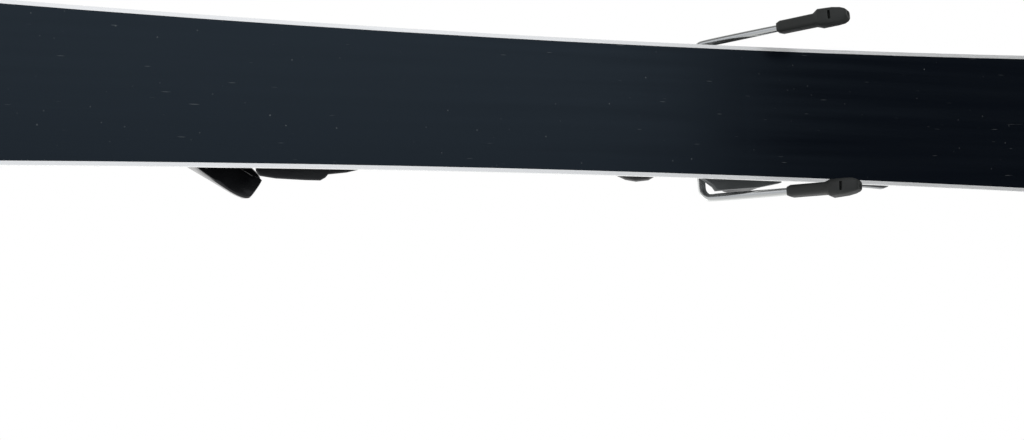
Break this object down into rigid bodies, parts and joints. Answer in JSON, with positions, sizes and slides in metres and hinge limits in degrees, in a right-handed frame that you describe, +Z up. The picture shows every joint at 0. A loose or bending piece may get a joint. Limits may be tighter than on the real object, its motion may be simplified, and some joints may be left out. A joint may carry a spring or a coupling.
{
  "type": "carving ski with binding",
  "caption": "Alpine carving ski, sandwich built, with a step-in toe and heel binding on tracks and a sprung ski brake, shown with the brake out.",
  "frame": {"origin": "on the running base under the middle of the boot sole", "axes": "+X to the tip, +Y to the left, +Z up away from the snow"},
  "size_m": [1.6, 0.1224, 0.1276],
  "materials": {
    "base_plastic": "ground black polyethylene with fine lengthwise structure",
    "edge_steel": "ground bright",
    "glass_laminate": "cured glass and resin",
    "aluminium_sheet": "rolled",
    "core_wood": "glued strips",
    "sidewall_plastic": "milled",
    "topsheet_plastic": "satin",
    "track_aluminium": "anodised",
    "screw_steel": "zinc plated",
    "spring_steel": "oiled",
    "binding_plastic_dark": "moulded",
    "binding_plastic_gloss": "moulded gloss",
    "indicator_plastic": "moulded",
    "lever_metal": "satin grey",
    "brake_base_metal": "satin dark grey",
    "brake_wire": "bright plated",
    "brake_foot_plastic": "moulded matt"
  },
  "bodies": {
    "ski": {"running_base": "base_plastic", "steel_edge_left": "edge_steel", "steel_edge_right": "edge_steel", "edge_level_filler": "glass_laminate", "lower_metal_sheet": "aluminium_sheet", "wood_core": "core_wood", "sidewall_left": "sidewall_plastic", "sidewall_right": "sidewall_plastic", "upper_metal_sheet": "aluminium_sheet", "topsheet": "topsheet_plastic", "tip_spacer": "sidewall_plastic", "tip_guard": "sidewall_plastic", "tail_guard": "sidewall_plastic", "toe_track": "binding_plastic_dark", "heel_track": "track_aluminium", "toe_mounting_screw_1": "screw_steel", "toe_mounting_screw_2": "screw_steel", "toe_mounting_screw_3": "screw_steel", "toe_mounting_screw_4": "screw_steel", "heel_mounting_screw_1": "screw_steel", "heel_mounting_screw_2": "screw_steel", "heel_mounting_screw_3": "screw_steel", "heel_mounting_screw_4": "screw_steel", "toe_base": "binding_plastic_dark", "afd_base": "binding_plastic_dark", "toe_housing": "binding_plastic_gloss", "toe_wing_pin_left": "screw_steel", "toe_wing_pin_right": "screw_steel", "toe_piston": "screw_steel", "toe_spring": "spring_steel"},
    "toe_wing_left": {"toe_wing_left": "binding_plastic_gloss"},
    "toe_wing_right": {"toe_wing_right": "binding_plastic_gloss"},
    "afd_plate": {"afd_plate": "binding_plastic_gloss"},
    "toe_setting": {"toe_setting_screw": "track_aluminium"},
    "toe_indicator": {"toe_indicator": "indicator_plastic"},
    "heel_slider": {"heel_carriage": "binding_plastic_dark", "heel_axle": "screw_steel", "brake_base": "brake_base_metal"},
    "length_screw": {"heel_length_screw": "screw_steel"},
    "heel_head": {"heel_housing": "binding_plastic_gloss", "heel_cup": "binding_plastic_gloss", "heel_piston": "screw_steel", "heel_spring": "spring_steel", "lever_pin": "screw_steel"},
    "heel_lever": {"heel_lever": "lever_metal"},
    "heel_setting": {"heel_setting_screw": "track_aluminium"},
    "heel_indicator": {"heel_indicator": "indicator_plastic"},
    "brake_arms": {"brake_arm_left": "brake_wire", "brake_arm_right": "brake_wire", "brake_foot_left": "brake_foot_plastic", "brake_foot_right": "brake_foot_plastic", "brake_spring_left": "spring_steel", "brake_spring_right": "spring_steel"},
    "brake_pedal": {"brake_pedal": "binding_plastic_dark"}
  },
  "joints": [
    {"name": "toe_wing_left_release", "type": "hinge", "parent": "ski", "child": "toe_wing_left", "pos_m": [0.163, 0.02, 0.048], "axis": [0, 0, -1], "range_deg": [0, 30], "stiffness_Nm_per_rad": 8, "springref_deg": -28.65},
    {"name": "toe_wing_right_release", "type": "hinge", "parent": "ski", "child": "toe_wing_right", "pos_m": [0.163, -0.02, 0.048], "axis": [0, 0, 1], "range_deg": [0, 30], "stiffness_Nm_per_rad": 8, "springref_deg": -28.65},
    {"name": "afd_plate_slide", "type": "slide", "parent": "ski", "child": "afd_plate", "axis": [0, 1, 0], "range_m": [-0.008, 0.008], "stiffness_N_per_m": 400},
    {"name": "toe_setting_turn", "type": "hinge", "parent": "ski", "child": "toe_setting", "pos_m": [0.2035, 0, 0.048], "axis": [1, 0, 0], "range_deg": [-720, 720]},
    {"name": "toe_indicator_slide", "type": "slide", "parent": "ski", "child": "toe_indicator", "axis": [1, 0, 0], "range_m": [-0.0031, 0.0031]},
    {"name": "heel_slider_travel", "type": "slide", "parent": "ski", "child": "heel_slider", "axis": [1, 0, 0], "range_m": [-0.015, 0.015]},
    {"name": "length_screw_turn", "type": "hinge", "parent": "heel_slider", "child": "length_screw", "pos_m": [-0.24, 0, 0.0246], "axis": [1, 0, 0], "range_deg": [-1360, 1360]},
    {"name": "heel_release", "type": "hinge", "parent": "heel_slider", "child": "heel_head", "pos_m": [-0.222, 0, 0.041], "axis": [0, -1, 0], "range_deg": [0, 50], "stiffness_Nm_per_rad": 12, "springref_deg": -34.38},
    {"name": "heel_lever_press", "type": "hinge", "parent": "heel_head", "child": "heel_lever", "pos_m": [-0.208, 0, 0.068], "axis": [0, -1, 0], "range_deg": [0, 20.1]},
    {"name": "heel_setting_turn", "type": "hinge", "parent": "heel_head", "child": "heel_setting", "pos_m": [-0.2052, 0, 0.056], "axis": [1, 0, 0], "range_deg": [-720, 720]},
    {"name": "heel_indicator_slide", "type": "slide", "parent": "heel_head", "child": "heel_indicator", "axis": [1, 0, 0], "range_m": [-0.0031, 0.0031]},
    {"name": "brake_arm_swing", "type": "hinge", "parent": "heel_slider", "child": "brake_arms", "pos_m": [-0.1044, 0, 0.0249], "axis": [0, 1, 0], "range_deg": [0, 50], "stiffness_Nm_per_rad": 1.72, "springref_deg": -83.08},
    {"name": "brake_pedal_tilt", "type": "hinge", "parent": "brake_arms", "child": "brake_pedal", "pos_m": [-0.07985, 0, 0.05123], "axis": [0, 1, 0], "range_deg": [-25.1, 0]}
  ],
  "couplings": [
    {"joint": "toe_indicator_slide", "follows": "toe_setting_turn", "m_per_rad": 0.0002387},
    {"joint": "length_screw_turn", "follows": "heel_slider_travel", "rad_per_m": 1570.8},
    {"joint": "heel_lever_press", "follows": "heel_release", "ratio": 0.4},
    {"joint": "heel_indicator_slide", "follows": "heel_setting_turn", "m_per_rad": 0.0002387},
    {"joint": "brake_pedal_tilt", "follows": "brake_arm_swing", "ratio": -0.5}
  ]
}
